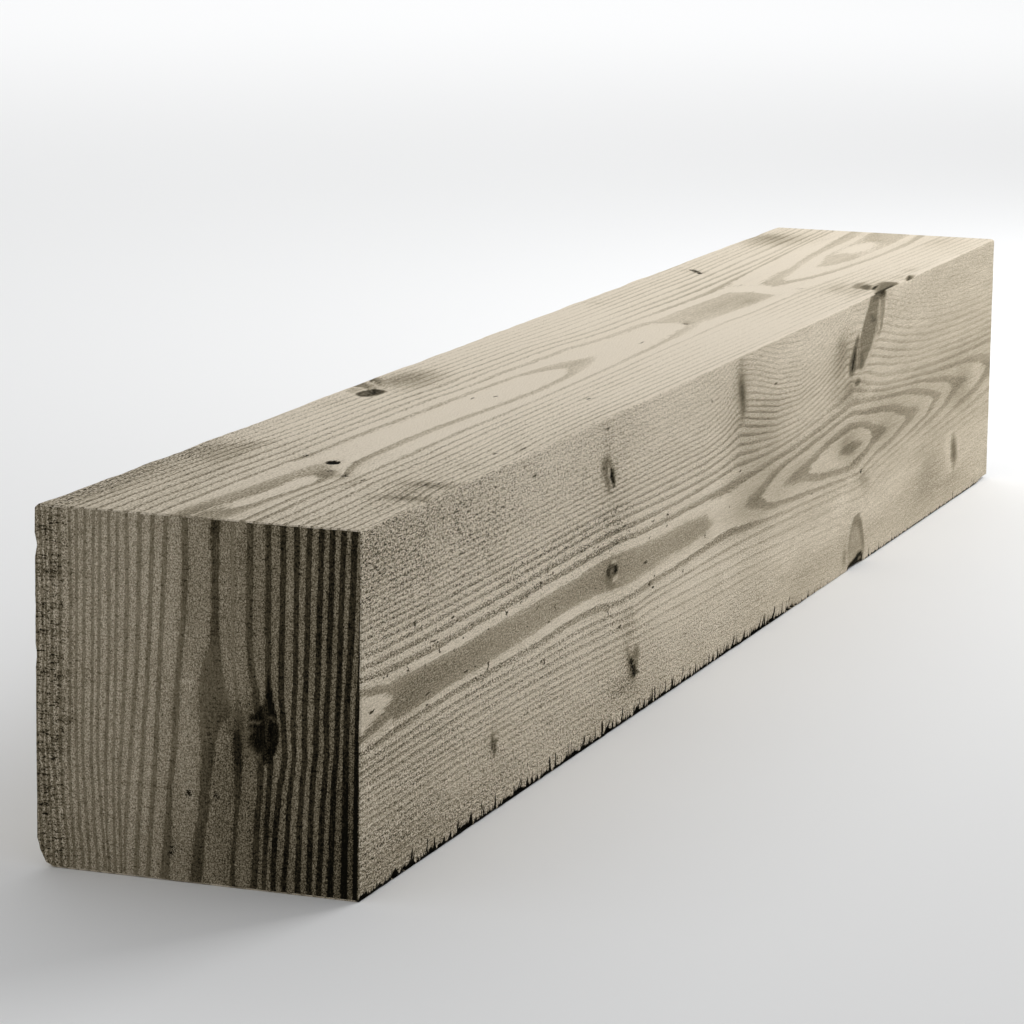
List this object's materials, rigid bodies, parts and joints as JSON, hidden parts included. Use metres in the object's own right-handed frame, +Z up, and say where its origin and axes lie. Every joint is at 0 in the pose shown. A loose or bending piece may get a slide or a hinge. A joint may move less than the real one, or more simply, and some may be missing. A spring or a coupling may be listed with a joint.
{
  "type": "rough-sawn treated timber",
  "caption": "Straight length of rough-sawn, pressure-treated softwood timber with an almost square section, upright end grain, small knots and rubbed, chipped edges.",
  "frame": {"origin": "middle of the underside, where the timber rests on the floor", "axes": "+X along the length and the grain, towards the far end; +Y across the width, towards the left side face; +Z up, out of the top face"},
  "size_m": [1.04, 0.142, 0.15],
  "materials": {
    "treated_wood": "rough-sawn, dry, olive-beige from preservative treatment"
  },
  "bodies": {
    "root": {"sawn_timber": "treated_wood"}
  },
  "joints": []
}
